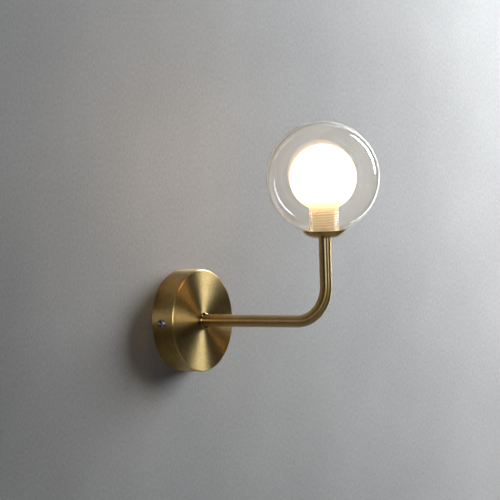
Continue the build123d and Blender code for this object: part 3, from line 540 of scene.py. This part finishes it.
def make_threaded_sleeve(thread_low):
    """Lampholder sleeve with a moulded right-hand thread and a lip over the ceramic body."""
    low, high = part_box("holder_sleeve")
    crest = (high.x - low.x) / 2
    axis_place = ((low.x + high.x) / 2, (low.y + high.y) / 2)
    root = crest - RIDGE_DEPTH
    bore = root - SLEEVE_WALL
    lip = bore - SLEEVE_LIP
    lip_low = high.z - SLEEVE_LIP_THICKNESS
    edge = SLEEVE_EDGE
    foot = [(bore, low.z), (root - edge, low.z), (root, low.z + edge)]
    rows = [(root, z) for z in thread_rows(low.z + 2 * edge, high.z - 2 * edge)]
    rim = [(root, high.z - edge), (root - edge, high.z), (lip + edge, high.z), (lip, high.z - edge),
           (lip, lip_low), (bore, lip_low)]
    depths = [0.0] * len(foot) + [RIDGE_DEPTH] * len(rows) + [0.0] * len(rim)
    vertices, faces = turned(foot + rows + rim, depths, thread_low, axis_place)
    plastic = threaded_plastic(low.z, high.z, axis_place[1], root, crest)
    made = make_object("threaded_sleeve", vertices, faces, [plastic])
    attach(made, "fixture")
    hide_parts("holder_sleeve")


# ---------------------------------------------------------------- stage, lamps and camera

def wall_paint():
    """Pale grey plaster with a fine, slightly upright grain. It can't be seen from behind."""
    look = Look("wall_paint", Roughness=0.85)
    grain = look.noise(2.2 * MM, detail=2.0, places=look.stretched(1, 1, 0.6), roughness=0.7)
    clouds = look.noise(160 * MM)
    mixed = look.blend(grain, clouds, 0.35)
    look.drive("Base Color", look.ramp(mixed, (0.3, (0.42, 0.42, 0.415)), (0.7, (0.60, 0.60, 0.595))))
    look.bump(grain, depth=0.5 * MM, strength=0.35)
    behind = look.node("ShaderNodeNewGeometry").outputs["Backfacing"]
    look.surface(behind, look.node("ShaderNodeBsdfTransparent"))
    return look.material


def floor_paint():
    look = Look("floor_paint", Roughness=0.8)
    clouds = look.noise(400 * MM)
    look.drive("Base Color", look.ramp(clouds, (0.3, (0.48, 0.48, 0.47)), (0.7, (0.52, 0.52, 0.51))))
    return look.material


def make_wall():
    """Wall with a round hole behind the canopy, which lets the light of the room's other side in.

    One face for each side of the wall runs from that side's two corners to a quarter of the hole's rim."""
    corners = [(WALL_HALF_WIDTH, WALL_TOP), (-WALL_HALF_WIDTH, WALL_TOP),
               (-WALL_HALF_WIDTH, FLOOR_HEIGHT), (WALL_HALF_WIDTH, FLOOR_HEIGHT)]
    sides = len(corners)
    quarter = SEGMENTS // sides
    rim = quarter * sides
    angles = [tau * (step + quarter / 2) / rim for step in range(rim)]
    vertices = [(WALL_HOLE * cos(angle), 0, WALL_HOLE * sin(angle)) for angle in angles]
    vertices += [(x, 0, z) for x, z in corners]
    faces = []
    for side in range(sides):
        rim_points = [(side * quarter + step) % rim for step in range(quarter, -1, -1)]
        faces.append((rim + (side + 1) % sides, *rim_points, rim + side))
    return make_object("wall", vertices, faces, [wall_paint()])


def make_stage():
    wall = make_wall()
    side = FLOOR_HALF_SIZE
    floor = make_object("floor", [
        (-side, -side, FLOOR_HEIGHT), (side, -side, FLOOR_HEIGHT),
        (side, side, FLOOR_HEIGHT), (-side, side, FLOOR_HEIGHT)], [(0, 1, 2, 3)], [floor_paint()])


def soft_lamp(name, place, aim, size, radiance, colour=(1, 1, 1), lean=0.0, mirrored=True):
    """Oval soft lamp that the camera doesn't see. It shows in metal and glass, or else it lights the rest."""
    data = bpy.data.lights.new(name, "AREA")
    data.shape = "ELLIPSE"
    data.size, data.size_y = size
    area = pi / 4 * size[0] * size[1]
    data.energy = radiance * pi * area
    data.color = colour
    made = bpy.data.objects.new(name, data)
    made.location = place
    facing = (Vector(aim) - Vector(place)).to_track_quat("-Z", "Y")
    made.rotation_mode = "QUATERNION"
    made.rotation_quaternion = facing @ Quaternion((0, 0, 1), lean)
    made.visible_camera = False
    made.visible_diffuse = not mirrored
    made.visible_glossy = mirrored
    made.visible_transmission = mirrored
    bpy.context.scene.collection.objects.link(made)


def make_lamps():
    """Tall strip, thin strip near the wall and wide wash on the right, two windows in front of the wall,
    a window and a wash behind it, and the weak light of the room."""
    soft_lamp(
        "side_strip", place=(1.15, -0.41, 0.68), aim=(0, -0.41, 0.68), size=(0.118, 1.10),
        radiance=46.0, colour=(0.92, 1.06, 1.36), lean=STRIP_LEAN)
    soft_lamp(
        "low_strip", place=(1.15, -0.04, -0.35), aim=(0, -0.04, -0.35), size=(0.034, 1.02), radiance=7.0)
    soft_lamp(
        "side_wash", place=(1.25, -0.52, 0.52), aim=(0, -0.10, 0.10), size=(0.745, 1.015),
        radiance=14.6, colour=(0.97, 0.985, 1.0), mirrored=False)
    soft_lamp(
        "front_window", place=(0.0, -2.2, 0.20), aim=(0, -0.17, 0.20), size=(0.565, 0.565),
        radiance=6.5, colour=(0.95, 1.0, 1.10))
    soft_lamp(
        "back_window", place=(-1.98, -1.70, 0.38), aim=(0, -0.17, 0.38), size=(1.55, 1.02),
        radiance=3.6, colour=(0.90, 0.97, 1.28))
    soft_lamp("rear_window", place=(-0.5, 1.6, 0.9), aim=(0, 0, 0), size=(1.0, 1.0), radiance=5.0)
    soft_lamp(
        "rear_wash", place=(0.5, 1.6, 1.1), aim=(0, 0, 0), size=(1.0, 1.0), radiance=6.0, mirrored=False)
    world = bpy.data.worlds.new("studio")
    world.use_nodes = True
    background = world.node_tree.nodes["Background"]
    background.inputs["Color"].default_value = WORLD_COLOUR
    background.inputs["Strength"].default_value = WORLD_STRENGTH
    bpy.context.scene.world = world


def make_camera():
    """Camera on the photograph's line of sight, turned so that the target falls on its pixel."""
    flat = cos(VIEW_ELEVATION)
    back = Vector((sin(VIEW_AZIMUTH) * flat, -cos(VIEW_AZIMUTH) * flat, sin(VIEW_ELEVATION)))
    level = (-back).cross(Vector((0, 0, 1))).normalized()
    upright = level.cross(-back)
    right = level * cos(VIEW_ROLL) - upright * sin(VIEW_ROLL)
    up = level * sin(VIEW_ROLL) + upright * cos(VIEW_ROLL)
    focal_pixels = PIXELS_PER_METRE * VIEW_DISTANCE
    middle = FRAME_PIXELS / 2
    ahead = -back * focal_pixels + right * (middle - TARGET_PIXEL[0]) - up * (middle - TARGET_PIXEL[1])
    ahead.normalize()
    right = (right - ahead * right.dot(ahead)).normalized()
    up = right.cross(ahead)
    data = bpy.data.cameras.new("camera")
    data.sensor_width = SENSOR_WIDTH
    data.lens = focal_pixels / FRAME_PIXELS * SENSOR_WIDTH
    data.clip_end = VIEW_END
    camera = bpy.data.objects.new("camera", data)
    turn = Matrix((right, up, -ahead)).transposed().to_4x4()
    camera.matrix_world = Matrix.Translation(VIEW_TARGET + back * VIEW_DISTANCE) @ turn
    bpy.context.scene.collection.objects.link(camera)
    bpy.context.scene.camera = camera


# ---------------------------------------------------------------- everything together

def dress_nodes(frame):
    """Gives every CAD node the material of its slot in the record, and the tube and the cup their own."""
    by_slot = finishes()
    arm_low, arm_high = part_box("arm_tube")
    tube_radius = arm_high.x
    shade_axis = arm_low.y + tube_radius
    own = {
        "arm_tube": bent_tube_brass(shade_axis + BEND_RADIUS, BEND_RADIUS),
        "cup": turned_brass("cup_brass", 2, shade_axis, CUP_ROUGHNESS),
    }
    for part in frame["record"]["subparts"]:
        material = own.get(part["node"]) or by_slot.get(part["material_slot"])
        if material is not None:
            mesh = frame["nodes"][part["node"]].data
            mesh.materials.clear()
            mesh.materials.append(material)


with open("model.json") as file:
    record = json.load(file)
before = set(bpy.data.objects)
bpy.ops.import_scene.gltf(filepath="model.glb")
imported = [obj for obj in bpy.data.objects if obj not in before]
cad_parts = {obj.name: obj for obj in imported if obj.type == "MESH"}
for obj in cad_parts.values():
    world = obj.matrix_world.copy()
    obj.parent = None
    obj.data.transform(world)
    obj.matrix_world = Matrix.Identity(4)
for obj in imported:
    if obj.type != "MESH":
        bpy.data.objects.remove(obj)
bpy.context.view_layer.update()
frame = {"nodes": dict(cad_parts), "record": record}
thread_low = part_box("holder_sleeve")[0].z + THREAD_START
dress_nodes(frame)
make_inner_glass(thread_low)
make_threaded_sleeve(thread_low)
make_stage()
make_lamps()
make_camera()
bpy.context.scene.view_settings.view_transform = "Standard"
